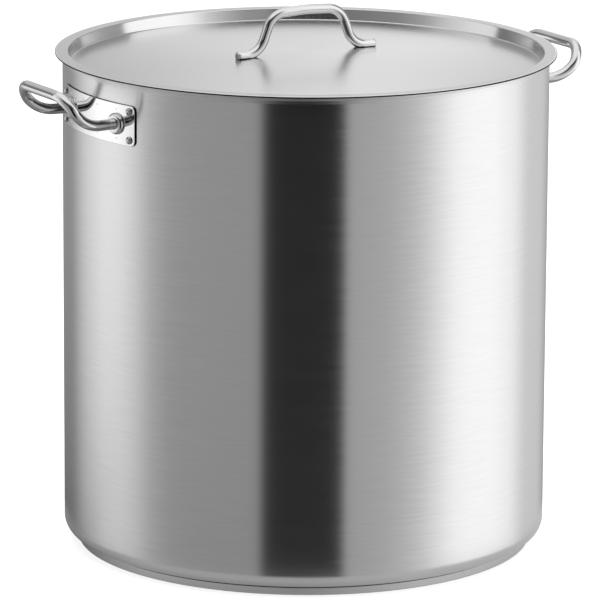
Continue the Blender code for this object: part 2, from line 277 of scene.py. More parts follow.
# The tint over the floor, by bearing: dark behind on the left, lighter in front, lightest on the
# right. It fades out towards its edge.
SHADE_RADIUS = 2.2
SHADE_DARK = 0.12
SHADE_FRONT = 0.66
SHADE_FRONT_BLEND = (math.radians(-85), math.radians(-45))
SHADE_RIGHT_LIFT = 0.24
SHADE_RIGHT_BLEND = (0, 0.5)         # radians
SHADE_FALLOFF = 0.25

# The light over the floor.
SOFTBOX_SIZE = 2.5
SOFTBOX_WATTS = 90
SOFTBOX_HEIGHT = 3.2


# ---------------------------------------------------------------- mesh helpers

def arc(centre, radius, start, end, steps):
    """Points on an arc in the plane of (radius, height), angles in degrees."""
    angles = [math.radians(start + (end - start) * i / steps) for i in range(steps + 1)]
    return [(centre[0] + radius * math.cos(a), centre[1] + radius * math.sin(a)) for a in angles]


def supported(outline, near=0.5 * MM):
    """Adds points close to both ends of each long straight, so that smooth shading keeps it flat."""
    points = [outline[0]]
    for before, after in zip(outline, outline[1:]):
        length = math.dist(before, after)
        if length > 5 * near:
            for t in (near / length, 1 - near / length):
                points.append(tuple(a + (b - a) * t for a, b in zip(before, after)))
        points.append(after)
    return points


def finish_mesh(name, bm, material, crease=35):
    """Turns a bmesh into a smooth-shaded object with its faces pointing out."""
    bmesh.ops.recalc_face_normals(bm, faces=bm.faces)
    mesh = bpy.data.meshes.new(name)
    bm.to_mesh(mesh)
    bm.free()
    mesh.shade_smooth()
    mesh.set_sharp_from_angle(angle=math.radians(crease))
    mesh.materials.append(material)
    piece = bpy.data.objects.new(name, mesh)
    bpy.context.scene.collection.objects.link(piece)
    return piece


def skin(bm, ring_a, ring_b):
    """Faces between two rings; a ring of one vertex is a pole."""
    count = max(len(ring_a), len(ring_b))
    for i in range(count):
        j = (i + 1) % count
        corners = [ring_a[i % len(ring_a)], ring_a[j % len(ring_a)],
                   ring_b[j % len(ring_b)], ring_b[i % len(ring_b)]]
        face = list(dict.fromkeys(corners))
        if len(face) > 2:
            bm.faces.new(face)


def turned(outline, segments, closed=False):
    """A solid of revolution about Z from (radius, height) points."""
    bm = bmesh.new()
    rings = []
    for radius, height in outline:
        if radius < 1e-7:
            rings.append([bm.verts.new((0, 0, height))])
            continue
        turns = [math.tau * i / segments for i in range(segments)]
        rings.append(
            [bm.verts.new((radius * math.cos(t), radius * math.sin(t), height)) for t in turns]
        )
    for ring_a, ring_b in zip(rings, rings[1:]):
        skin(bm, ring_a, ring_b)
    if closed:
        skin(bm, rings[-1], rings[0])
    return bm


def rounded_path(corners, radii, steps):
    """A run of straight lines whose inner corners are rounded, each on its own radius."""
    points = [Vector(corners[0])]
    for before, corner, after, radius in zip(corners, corners[1:], corners[2:], radii):
        corner = Vector(corner)
        back = (Vector(before) - corner).normalized()
        on = (Vector(after) - corner).normalized()
        half = back.angle(on) / 2
        centre = corner + (back + on).normalized() * (radius / math.sin(half))
        start = corner + back * (radius / math.tan(half)) - centre
        end = corner + on * (radius / math.tan(half)) - centre
        for i in range(steps + 1):
            points.append(centre + start.slerp(end, i / steps).normalized() * radius)
    points.append(Vector(corners[-1]))
    return points


def evenly(path, spacing):
    """The same line with a point about every spacing."""
    points = [path[0]]
    for before, after in zip(path, path[1:]):
        count = max(1, round((after - before).length / spacing))
        points += [before.lerp(after, i / count) for i in range(1, count + 1)]
    return points


def sweep(bm, path, radii, sides):
    """A round section carried along a path without twisting; one radius for each point."""
    rings = []
    side = None
    for i, (point, radius) in enumerate(zip(path, radii)):
        ahead = path[min(i + 1, len(path) - 1)] - path[max(i - 1, 0)]
        ahead.normalize()
        if side is None:
            side = ahead.orthogonal().normalized()
        side = (side - ahead * side.dot(ahead)).normalized()
        up = ahead.cross(side)
        turns = [math.tau * k / sides for k in range(sides)]
        rings.append([
            bm.verts.new(point + (side * math.cos(t) + up * math.sin(t)) * radius) for t in turns
        ])
    for ring_a, ring_b in zip(rings, rings[1:]):
        skin(bm, ring_a, ring_b)
    return rings


def drop_to_cylinder(point, direction, radius):
    """Slides a point along a direction until it lies on the upright cylinder of that radius."""
    a = direction.x ** 2 + direction.y ** 2
    b = point.x * direction.x + point.y * direction.y
    c = point.x ** 2 + point.y ** 2 - radius ** 2
    return point + direction * ((math.sqrt(b * b - a * c) - b) / a)


# ---------------------------------------------------------------- materials

class Nodes:
    """A short way to add nodes to a material or a world."""

    def __init__(self, tree):
        self.tree = tree

    def add(self, kind, inputs=(), **settings):
        node = self.tree.nodes.new(kind)
        for key, value in settings.items():
            setattr(node, key, value)
        for key, value in dict(inputs).items():
            if isinstance(value, bpy.types.NodeSocket):
                self.tree.links.new(value, node.inputs[key])
            else:
                node.inputs[key].default_value = value
        return node

    def math(self, operation, *values):
        return self.add("ShaderNodeMath", enumerate(values), operation=operation).outputs[0]

    def noise(self, vector, scale, detail=4.0, roughness=0.55):
        node = self.add(
            "ShaderNodeTexNoise",
            {"Vector": vector, "Scale": scale, "Detail": detail, "Roughness": roughness},
        )
        return node.outputs[0]

    def spread(self, value, low, high, from_low=0.3, from_high=0.7):
        """Maps from_low and from_high, which suit a noise, to low and high, and stops there."""
        node = self.add(
            "ShaderNodeMapRange",
            {"Value": value, "From Min": from_low, "From Max": from_high,
             "To Min": low, "To Max": high},
        )
        return node.outputs[0]

    def between(self, factor, low, high):
        """A number between two others; sockets 0, 2 and 3 are the Mix node's for plain numbers."""
        return self.add("ShaderNodeMix", {0: factor, 2: low, 3: high}).outputs[0]

    def stretched(self, scale):
        """The point on the piece, scaled along X, Y and Z."""
        spot = self.add("ShaderNodeTexCoord").outputs["Object"]
        return self.add("ShaderNodeMapping", {"Vector": spot, "Scale": scale}).outputs[0]

    def ringed(self, scale):
        """The same with its distance from the Z axis in place of its height."""
        spot = self.add("ShaderNodeTexCoord").outputs["Object"]
        x, y = self.add("ShaderNodeSeparateXYZ", {"Vector": spot}).outputs[:2]
        flat = self.add("ShaderNodeCombineXYZ", {"X": x, "Y": y}).outputs[0]
        out = self.add("ShaderNodeVectorMath", {0: flat}, operation="LENGTH").outputs["Value"]
        polar = self.add("ShaderNodeCombineXYZ", {"X": x, "Y": y, "Z": out}).outputs[0]
        return self.add("ShaderNodeMapping", {"Vector": polar, "Scale": scale}).outputs[0]


def blank_steel(name):
    """A material with a bare metallic shader and a helper for its nodes."""
    material = bpy.data.materials.new(name)
    material.use_nodes = True
    shader = material.node_tree.nodes["Principled BSDF"]
    shader.inputs["Metallic"].default_value = 1.0
    return material, shader, Nodes(material.node_tree)


def tone(nodes, factor, dark, light):
    """A near-neutral steel colour between two shades, on the Mix node's sockets for colours."""
    mix = nodes.add("ShaderNodeMix", {"Factor": factor}, data_type="RGBA")
    mix.inputs[6].default_value = (dark, dark, dark * BLUE_IN_DARK, 1)
    mix.inputs[7].default_value = (light, light * GREEN_IN_LIGHT, light * BLUE_IN_LIGHT, 1)
    return mix.outputs[2]


def brushed(name, dark, light, rough, grain, depth,
            anisotropy=0.0, lean=0.0, broad=0.45, rings=False):
    """Brushed steel. grain is the size of a streak in metres along X, Y and Z.

    depth is the height of the streaks, and broad is the share of wider, longer ones. anisotropy
    spreads the gloss at right angles to the way round the Z axis, and lean tips each streak's
    normal along that way. With rings, the third size runs outward from the axis, so the streaks
    run round it.
    """
    material, shader, nodes = blank_steel(name)
    scale = [1 / size for size in grain]
    along = nodes.ringed(scale) if rings else nodes.stretched(scale)
    fine = nodes.noise(along, 1.0, detail=3.0)
    coarse = nodes.noise(along, COARSE_STREAKS, detail=5.0, roughness=0.65)
    cloud = nodes.noise(nodes.stretched((1, 1, 1)), CLOUD_SCALE, detail=2.0)
    streaks = nodes.between(broad, fine, coarse)
    mottle = nodes.math(
        "ADD", nodes.math("MULTIPLY", streaks, STREAK_SHARE),
        nodes.math("MULTIPLY", cloud, CLOUD_SHARE),
    )
    links = material.node_tree.links
    links.new(tone(nodes, nodes.spread(mottle, 0, 1), dark, light), shader.inputs["Base Color"])
    links.new(nodes.spread(mottle, rough[0], rough[1]), shader.inputs["Roughness"])
    bump = nodes.add(
        "ShaderNodeBump", {"Height": streaks, "Strength": 1.0, "Distance": depth}
    )
    shader.inputs["Anisotropic"].default_value = anisotropy
    if anisotropy > 0:
        shader.inputs["Anisotropic Rotation"].default_value = UPRIGHT
    tangent = nodes.add("ShaderNodeTangent", direction_type="RADIAL", axis="Z")
    tip = nodes.math("MULTIPLY", nodes.math("SUBTRACT", streaks, 0.5), lean)
    leaned = nodes.add(
        "ShaderNodeVectorMath", {0: tangent.outputs[0], 1: tip, 2: bump.outputs[0]},
        operation="MULTIPLY_ADD",
    )
    straight = nodes.add("ShaderNodeVectorMath", {0: leaned.outputs[0]}, operation="NORMALIZE")
    links.new(straight.outputs[0], shader.inputs["Normal"])
    links.new(tangent.outputs[0], shader.inputs["Tangent"])
    return material


def polished(name, dark, light, rough, wave_depth):
    """Polished steel: buffing marks in the gloss and a faint waviness in the surface."""
    material, shader, nodes = blank_steel(name)
    spot = nodes.stretched((1, 1, 1))
    buffing = nodes.noise(spot, BUFFING_SCALE, detail=3.0)
    blotches = nodes.noise(spot, BLOTCH_SCALE, detail=2.0)
    wave = nodes.noise(spot, WAVE_SCALE, detail=1.0)
    mottle = nodes.math(
        "ADD", nodes.math("MULTIPLY", buffing, 0.5), nodes.math("MULTIPLY", blotches, 0.5),
    )
    links = material.node_tree.links
    links.new(tone(nodes, nodes.spread(mottle, 0, 1), dark, light), shader.inputs["Base Color"])
    links.new(nodes.spread(mottle, rough[0], rough[1]), shader.inputs["Roughness"])
    bump = nodes.add(
        "ShaderNodeBump", {"Height": wave, "Strength": 1.0, "Distance": wave_depth}
    )
    links.new(bump.outputs[0], shader.inputs["Normal"])
    return material


def make_materials():
    """Every metal: name, darkest and lightest shade, roughness, then grain and depth or waves."""
    return {
        "body": brushed("body_brushed", 0.625, 0.672, (0.205, 0.235), (0.04, 0.04, 0.0021),
                        0.003 * MM, anisotropy=0.9, lean=0.008, broad=0.2),
        "bead": brushed("rim_bead_satin", 0.66, 0.72, (0.41, 0.47), (0.05, 0.05, 0.0009),
                        0.004 * MM, anisotropy=0.2),
        "rim": brushed("rim_band_satin", 0.62, 0.68, (0.29, 0.33), (0.05, 0.05, 0.0017),
                       0.004 * MM, anisotropy=0.6),
        "inside": brushed("inside_satin", 0.68, 0.76, (0.30, 0.38), (0.09, 0.09, 0.0011),
                          0.012 * MM, anisotropy=0.6),
        "base": brushed("base_turned", 0.62, 0.70, (0.40, 0.48), (0.06, 0.06, 0.0008),
                        0.010 * MM, anisotropy=0.3, lean=0.03),
        # Painted shade for the gap between the base pan and the body.
        "seam": brushed("base_gap_painted_shade", 0.012, 0.025, (0.55, 0.70), (0.01, 0.01, 0.001),
                        0.01 * MM),
        # Painted shade: on the lid flange's edge, along the plate's edges and round the rod's feet.
        "painted_shade": brushed("painted_shade_steel", 0.012, 0.026, (0.45, 0.60), (0.01, 0.01, 0.001),
                           0.01 * MM),
        "lid": brushed("lid_satin", 0.66, 0.71, (0.19, 0.25), (0.12, 0.0009, 0.12),
                       0.002 * MM, anisotropy=0.4),
        # The wall's steel, also the painted highlight round the lid flange's rim.
        "lid_wall": brushed("lid_wall_brushed_and_rim_highlight", 0.70, 0.76, (0.15, 0.20), (0.07, 0.07, 0.0009),
                            0.003 * MM, anisotropy=0.8, lean=0.02),
        "flange": brushed("lid_flange_turned", 0.51, 0.59, (0.22, 0.30), (0.07, 0.07, 0.0009),
                          0.004 * MM, anisotropy=0.5, rings=True),
        "rod": polished("handle_polished", 0.64, 0.72, (0.03, 0.06), 0.01 * MM),
        "mirror": polished("plate_mirror", 0.78, 0.84, (0.03, 0.07), 0.02 * MM),
        "rivet": polished("rivet_polished", 0.42, 0.52, (0.05, 0.10), 0.005 * MM),
        "core": brushed("core_aluminium", 0.76, 0.84, (0.40, 0.52), (0.004, 0.004, 0.004),
                        0.02 * MM),
    }


# ---------------------------------------------------------------- pot

def body_shell(outside, band, bead, inside):
    """The drawn shell: brushed outside, then a satin band and the rim's bead, and satin inside."""
    inner = BODY_RADIUS - BODY_WALL
    underside = BODY_LOW.z
    rim = BODY_HIGH.z
    corner = (BODY_RADIUS - BODY_CORNER, underside + BODY_CORNER)
    bead_radius = BODY_HIGH.x
    bead_foot = rim - RIM_BEAD_HEIGHT
    step = RIM_BEAD_PROUD / 2
    outline = [(0, underside)]
    outline += arc(corner, BODY_CORNER, -90, 0, 20)
    outline += [(BODY_RADIUS, rim - RIM_BAND_HEIGHT)]
    outline += arc((BODY_RADIUS + step, bead_foot - 2 * step), step, 180, 90, 4)
    outline += arc((bead_radius - step, bead_foot), step, -90, 0, 4)
    outline += arc((bead_radius - RIM_ROUND, rim - RIM_ROUND), RIM_ROUND, 0, 90, 5)
    outline += arc((inner + RIM_ROUND / 2, rim - RIM_ROUND / 2), RIM_ROUND / 2, 90, 180, 4)
    outline += arc(corner, BODY_CORNER - BODY_WALL, 0, -90, 16)
    outline += [(0, underside + BODY_WALL)]
    piece = finish_mesh("body_shell", turned(supported(outline), BODY_SEGMENTS), outside)
    for metal in (band, bead, inside):
        piece.data.materials.append(metal)
    for face in piece.data.polygons:
        radius = math.hypot(face.center.x, face.center.y)
        outward = (face.normal.x * face.center.x + face.normal.y * face.center.y) / radius
        on_floor = face.normal.z > 0.5 and face.center.z < underside + BODY_CORNER
        if outward < -0.5 or on_floor:
            face.material_index = 3
        elif face.center.z > bead_foot - step:
            face.material_index = 2
        elif face.center.z > rim - RIM_BAND_HEIGHT:
            face.material_index = 1
    return piece


def base_pan(material):
    """The stainless pan that holds the core, open at the top."""
    top = BASE_HIGH.z - SEAM_DROP
    corner = (BASE_RADIUS - BASE_EDGE, BASE_EDGE)
    lip = BASE_SHEET / 2
    outline = [(0, 0)]
    outline += arc(corner, BASE_EDGE, -90, 0, 8)
    outline += arc((BASE_RADIUS - lip, top - lip), lip, 0, 180, 8)
    outline += arc(corner, BASE_EDGE - BASE_SHEET, 0, -90, 6)
    outline += [(0, BASE_SHEET)]
    return finish_mesh("base_pan", turned(supported(outline), BODY_SEGMENTS), material)


def base_seam(material):
    """A near-black ring of painted shade in the gap between the base pan and the body."""
    low = BASE_HIGH.z - SEAM_DROP - BASE_SHEET / 2
    high = BODY_LOW.z
    outer = BASE_RADIUS - SEAM_INSET
    inner = outer - BASE_SHEET
    outline = [(inner, low), (outer, low), (outer, high), (inner, high)]
    return finish_mesh("base_seam", turned(outline, BODY_SEGMENTS, closed=True), material)


# ---------------------------------------------------------------- lid

def panel_height(radius):
    """Top of the lid's domed panel at a distance from the axis."""
    return PANEL_EDGE + DOME_RISE * (1 - (radius / DOME_RADIUS) ** 2)


def lid_pressing(satin, wall, flange, painted_shade):
    """The lid's sheet: satin panel, brushed wall, turned flange with a painted highlight of brushed
    wall steel round its rim, and painted shade on its edge.
    """
    dome = [DOME_RADIUS * i / 30 for i in range(31)]
    tilt = math.atan(LID_WALL_DRAFT / (LID_WALL_DEPTH - 2 * LID_FILLET))
    wall_tilt = math.degrees(tilt)
    low_centre = (DOME_RADIUS, PANEL_EDGE + LID_FILLET)
    high_centre = (FLANGE_INNER_RADIUS + LID_FILLET, FLANGE_TOP - LID_FILLET)
    edge_centre = (FLANGE_RADIUS - LID_SHEET / 2, FLANGE_TOP - LID_SHEET / 2)
    outline = [(r, panel_height(r)) for r in dome]
    outline += arc(low_centre, LID_FILLET, -90, -wall_tilt, 8)[1:]
    outline += arc(high_centre, LID_FILLET, 180 - wall_tilt, 90, 8)
    outline += [(FLANGE_RADIUS - FLANGE_HIGHLIGHT_RING, FLANGE_TOP)]
    outline += arc(edge_centre, LID_SHEET / 2, 90, 0, 6)
    lip_centre = (edge_centre[0], edge_centre[1] - LID_LIP)
    outline += arc(lip_centre, LID_SHEET / 2, 0, -180, 10)
    outline += [(edge_centre[0] - LID_SHEET / 2, FLANGE_TOP - LID_SHEET)]
    past_centre = (LID_SHEET - LID_FILLET) * (1 - math.sin(tilt)) / math.cos(tilt)
    outline += [(high_centre[0] + past_centre, FLANGE_TOP - LID_SHEET)]
    outline += arc(low_centre, LID_FILLET + LID_SHEET, -wall_tilt, -90, 8)
    outline += [(r, panel_height(r) - LID_SHEET) for r in reversed(dome[:-1])]
    piece = finish_mesh("lid_pressing", turned(supported(outline), BODY_SEGMENTS), satin)
    for metal in (wall, flange, painted_shade):
        piece.data.materials.append(metal)
    cut_top = FLANGE_TOP - 0.3 * LID_SHEET         # the painted shade on the edge starts a little under the top
    for face in piece.data.polygons:
        radius = math.hypot(face.center.x, face.center.y)
        low = face.center.z < cut_top
        # Painted shade on the flange's lower edge, lip and underside.
        if radius > FLANGE_RADIUS - LID_SHEET and low:
            face.material_index = 3
        # A painted highlight: the wall's lighter steel round the top of the flange's rim.
        elif radius > FLANGE_RADIUS - FLANGE_HIGHLIGHT_RING and not low:
            face.material_index = 1
        elif radius > FLANGE_INNER_RADIUS + LID_FILLET / 2:
            face.material_index = 2
        elif radius > DOME_RADIUS:
            face.material_index = 1
    return piece


def lid_rod(material, painted_shade):
    """The bent rod, its ends chamfered and its feet ground to the curve of the panel, with painted
    contact shade round them.
    """
    foot = panel_height(ROD_FOOT) + ROD_AXIS_LIFT + SEAT_GAP
    top = foot + ROD_RISE
    corners = [
        (-ROD_END + ROD_CHAMFER, 0, foot),
        (-ROD_FOOT, 0, foot),
        (-ROD_TOP, 0, top),
        (0, 0, top + ROD_CROWN),
        (ROD_TOP, 0, top),
        (ROD_FOOT, 0, foot),
        (ROD_END - ROD_CHAMFER, 0, foot),
    ]
    bends = [ROD_FOOT_BEND, ROD_TOP_BEND, ROD_CROWN_BEND, ROD_TOP_BEND, ROD_FOOT_BEND]
    path = evenly(rounded_path(corners, bends, 18), 3 * MM)
    radii = [ROD_RADIUS] * len(path)
    for end, out in ((0, -1), (-1, 1)):
        turns = [math.radians(a) for a in (22.5, 45, 67.5, 90)]
        points = [path[end] + Vector((out * ROD_CHAMFER * math.sin(t), 0, 0)) for t in turns]
        shrunk = [ROD_RADIUS - ROD_CHAMFER * (1 - math.cos(t)) for t in turns]
        if end == 0:
            path = points[::-1] + path
            radii = shrunk[::-1] + radii
        else:
            path = path + points
            radii = radii + shrunk
    bm = bmesh.new()
    rings = sweep(bm, path, radii, ROD_SIDES)
    for ring in (rings[0], rings[-1]):
        centre = bm.verts.new(sum((v.co for v in ring), Vector()) / len(ring))
        skin(bm, ring, [centre])
    for vert in bm.verts:
        seat = panel_height(math.hypot(vert.co.x, vert.co.y)) + SEAT_GAP
        vert.co.z = max(vert.co.z, seat)
    piece = finish_mesh("lid_rod", bm, material, crease=50)
    piece.data.materials.append(painted_shade)
    for face in piece.data.polygons:
        lift = face.center.z - panel_height(math.hypot(face.center.x, face.center.y))
        # Faces just above the panel take the painted contact shade.
        if lift < SEAT_GAP + FOOT_SHADE:
            face.material_index = 1
    return piece


# ---------------------------------------------------------------- side handles

def plate_ring(inset, height):
    """One ring of the plate's outline, laid flat: (along the wall, up, off the wall)."""
    half_length = PLATE_RADIUS * PLATE_HALF_ANGLE - PLATE_CORNER
    half_height = PLATE_HALF_HEIGHT - PLATE_CORNER
    points = []
    for k, (su, sv) in enumerate(((1, -1), (1, 1), (-1, 1), (-1, -1))):
        centre = (su * half_length, sv * half_height)
        points += arc(centre, PLATE_CORNER - inset, 90 * k - 90, 90 * k, 8)
    return [Vector((u, v, height)) for u, v in points]


def ring_edges(bm, ring):
    return [bm.edges.new((a, b)) for a, b in zip(ring, ring[1:] + ring[:1])]


def handle_plate(name, turn, material, painted_shade):
    """A plate with painted shade on its cut edges and eight spot-weld dimples, wrapped round the
    body.
    """
    bm = bmesh.new()
    profile = [(PLATE_EDGE / 3, 0), (0, PLATE_EDGE / 3), (0, PLATE_THICKNESS - PLATE_EDGE)]
    corner = (PLATE_EDGE, PLATE_THICKNESS - PLATE_EDGE)
    profile += arc(corner, PLATE_EDGE, 180, 90, 5)[1:]
    rings = [[bm.verts.new(p) for p in plate_ring(inset, height)] for inset, height in profile]
    for ring_a, ring_b in zip(rings, rings[1:]):
        skin(bm, ring_a, ring_b)
    bm.faces.new(rings[0])
    loops = [e for e in bm.edges if e.verts[0] in rings[-1] and e.verts[1] in rings[-1]]
    for angle in WELD_DIMPLE_ANGLES:
        for lift in (-WELD_DIMPLE_OFFSET_Z, WELD_DIMPLE_OFFSET_Z):
            rows = []
            for share in (1.0, 0.8, 0.55, 0.3):
                radius = WELD_DIMPLE_RADIUS * share
                sunk = WELD_DIMPLE_DEPTH * (0.5 + 0.5 * math.cos(math.pi * share))
                centre = (PLATE_RADIUS * angle, lift)
                flat = arc(centre, radius, 0, 360, 16)[:-1]
                rows.append([bm.verts.new((u, v, PLATE_THICKNESS - sunk)) for u, v in flat])
            loops += ring_edges(bm, rows[0])
            for row_a, row_b in zip(rows, rows[1:]):
                skin(bm, row_a, row_b)
            bm.faces.new(rows[-1])
    bmesh.ops.triangle_fill(bm, use_beauty=True, edges=loops, normal=(0, 0, 1))
    strips = 48
    reach = PLATE_RADIUS * PLATE_HALF_ANGLE
    for i in range(1, strips):
        bmesh.ops.bisect_plane(
            bm, geom=bm.verts[:] + bm.edges[:] + bm.faces[:],
            plane_co=(reach * (2 * i / strips - 1), 0, 0), plane_no=(1, 0, 0),
        )
    for vert in bm.verts:
        radius = PLATE_RADIUS - PLATE_THICKNESS + vert.co.z
        angle = vert.co.x / PLATE_RADIUS + turn
        vert.co = (radius * math.cos(angle), radius * math.sin(angle), HANDLE_HEIGHT + vert.co.y)
    bmesh.ops.triangulate(bm, faces=bm.faces)
    piece = finish_mesh(name, bm, material, crease=60)
    piece.data.materials.append(painted_shade)
    for face in piece.data.polygons:
        centre = face.center
        normal = face.normal
        lift = math.hypot(centre.x, centre.y) - (PLATE_RADIUS - PLATE_THICKNESS)
        long_edge = math.hypot(normal.x, normal.y) < 0.5
        short_edge = abs(normal.x * centre.y - normal.y * centre.x) > 0.5 * PLATE_RADIUS
        # Edge faces of the plate take the painted shade.
        if lift < PLATE_THICKNESS - PLATE_EDGE / 2 and (long_edge or short_edge):
            face.material_index = 1
    piece.modifiers.new("flat faces lead", "WEIGHTED_NORMAL").keep_sharp = True
    return piece


def loop_point(offset, run):
    """Where the handle's flat layout (offset along the wall, run out from it) lies in space."""
    bend = min(max(run - LEG_LEVEL_RUN, 0) / LEG_RISE_RADIUS, LEG_RISE_ANGLE)
    slope_run = max(run - LEG_LEVEL_RUN - LEG_RISE_RADIUS * LEG_RISE_ANGLE, 0)
    out = min(run, LEG_LEVEL_RUN) + LEG_RISE_RADIUS * math.sin(bend)
    out += slope_run * math.cos(LEG_RISE_ANGLE)
    rise = LEG_RISE_RADIUS * (1 - math.cos(bend)) + slope_run * math.sin(LEG_RISE_ANGLE)
    return Vector((BODY_RADIUS + out, offset, HANDLE_HEIGHT + rise))


def leg_frame(end):
    """The root of a leg (end -1 or 1) and the direction in which it leaves the wall."""
    lean = (LEG_TIP_OFFSET - LEG_ROOT_OFFSET) / LEG_LENGTH
    root = Vector((BODY_RADIUS, end * LEG_ROOT_OFFSET, HANDLE_HEIGHT))
    return root, Vector((1, end * lean, 0)).normalized()


def handle_tube(name, turn, material):
    """The bent tube with its bore, its ends cut to the curve of the plate."""
    corners = [
        (-LEG_ROOT_OFFSET, 0, 0),
        (-LEG_TIP_OFFSET, LEG_LENGTH, 0),
        (LEG_TIP_OFFSET, LEG_LENGTH, 0),
        (LEG_ROOT_OFFSET, 0, 0),
    ]
    flat = evenly(rounded_path(corners, [GRIP_CORNER] * 2, 24), 2 * MM)
    path = [loop_point(p.x, p.y) for p in flat]
    bm = bmesh.new()
    outer = sweep(bm, path, [TUBE_RADIUS] * len(path), ROD_SIDES)
    bore = sweep(bm, path, [TUBE_BORE] * len(path), ROD_SIDES)
    seat = PLATE_RADIUS + SEAT_GAP
    for row, end in ((0, -1), (-1, 1)):
        skin(bm, outer[row], bore[row])
        direction = leg_frame(end)[1]
        for vert in outer[row] + bore[row]:
            vert.co = drop_to_cylinder(vert.co, direction, seat)
    bmesh.ops.rotate(bm, verts=bm.verts, matrix=Matrix.Rotation(turn, 3, "Z"))
    return finish_mesh(name, bm, material, crease=50)


def handle_ferrule(name, end, turn, material):
    """A domed ring round a leg, rising from the curve of the plate."""
    bore = TUBE_RADIUS + FERRULE_EASE
    radius = (FERRULE_HEIGHT - FERRULE_LIP) / math.sin(math.radians(FERRULE_CROWN))
    outline = [(bore, 0), (FERRULE_RADIUS - 0.2 * MM, 0), (FERRULE_RADIUS, 0.2 * MM)]
    outline += arc((FERRULE_RADIUS - radius, FERRULE_LIP), radius, 0, FERRULE_CROWN, 12)
    outline += [(bore + 0.5 * MM, FERRULE_HEIGHT - 0.1 * MM), (bore, FERRULE_HEIGHT - 0.5 * MM)]
    bm = turned(outline, SMALL_SEGMENTS, closed=True)
    root, direction = leg_frame(end)
    across = Vector((-direction.y, direction.x, 0))
    stand = Matrix((across, direction.cross(across), direction)).transposed()
    seat = PLATE_RADIUS + SEAT_GAP
    centre = drop_to_cylinder(root, direction, seat)
    for vert in bm.verts:
        height = vert.co.z
        foot = centre + stand @ Vector((vert.co.x, vert.co.y, 0))
        vert.co = drop_to_cylinder(foot, direction, seat) + direction * height
    bmesh.ops.rotate(bm, verts=bm.verts, matrix=Matrix.Rotation(turn, 3, "Z"))
    return finish_mesh(name, bm, material)


def rivet(name, node, material):
    """A domed rivet on the axis of its CAD solid, with a flatter tail inside the pot."""
    low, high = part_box(node)
    centre = (low + high) / 2
    angle = math.atan2(centre.y, centre.x)
    out = Vector((math.cos(angle), math.sin(angle), 0))
    across = Vector((-math.sin(angle), math.cos(angle), 0))
    stand = Matrix((across, Vector((0, 0, 1)), out)).transposed().to_4x4()
    seat = PLATE_RADIUS + SEAT_GAP
    tail = BODY_RADIUS - BODY_WALL - RIVET_TAIL_GAP
    outline = [(0, tail - RIVET_TAIL_HEIGHT)]
    for t in range(1, 9):
        lean = math.radians(90 * t / 8)
        depth = (RIVET_TAIL_HEIGHT - RIVET_TAIL_RIM) * math.cos(lean)
        outline.append((RIVET_HEAD_RADIUS * math.sin(lean), tail - RIVET_TAIL_RIM - depth))
    outline += [(RIVET_HEAD_RADIUS, tail), (RIVET_SHANK, tail), (RIVET_SHANK, seat)]
    outline += [(RIVET_HEAD_RADIUS, seat)]
    for t in range(9):
        lean = math.radians(90 * t / 8)
        height = (RIVET_HEAD_HEIGHT - RIVET_HEAD_RIM) * math.sin(lean)
        outline.append((RIVET_HEAD_RADIUS * math.cos(lean), seat + RIVET_HEAD_RIM + height))
    bm = turned(outline, SMALL_SEGMENTS)
    lifted = Matrix.Translation((0, 0, centre.z)) @ stand
    bmesh.ops.transform(bm, matrix=lifted, verts=bm.verts)
    return finish_mesh(name, bm, material)


# ---------------------------------------------------------------- studio

def disc(name, radius, paleness, glow):
    """A round sheet on the ground that throws no shadow."""
    bm = bmesh.new()
    bmesh.ops.create_circle(bm, cap_ends=True, segments=96, radius=radius)
    material = bpy.data.materials.new(name)
    material.use_nodes = True
    shader = material.node_tree.nodes["Principled BSDF"]
    shader.inputs["Base Color"].default_value = (paleness, paleness, paleness, 1)
    shader.inputs["Roughness"].default_value = 0.9
    shader.inputs["Specular IOR Level"].default_value = 0.1
    shader.inputs["Emission Color"].default_value = (1, 1, 1, 1)
    shader.inputs["Emission Strength"].default_value = glow
    piece = finish_mesh(name, bm, material)
    piece.visible_shadow = False
    return piece


def floor():
    """A white floor that metal doesn't mirror, and a patch under the pot that only metal mirrors."""
    wide = disc("studio_floor", FLOOR_RADIUS, FLOOR_PALENESS, FLOOR_GLOW)
    wide.location.z = -FLOOR_DROP
    wide.visible_glossy = False
    near = disc("floor_patch", PATCH_RADIUS, PATCH_PALENESS, PATCH_GLOW)
    near.location.z = -PATCH_DROP
    near.visible_camera = False
    near.visible_diffuse = False


def bearing_of(nodes, x, y):
    """Bearing round Z from the camera's side of the pot, positive to the camera's right."""
    cos, sin = math.cos(CAMERA_AZIMUTH), math.sin(CAMERA_AZIMUTH)
    front = nodes.math("SUBTRACT", nodes.math("MULTIPLY", x, sin), nodes.math("MULTIPLY", y, cos))
    side = nodes.math("ADD", nodes.math("MULTIPLY", x, cos), nodes.math("MULTIPLY", y, sin))
    return nodes.math("ARCTAN2", side, front)


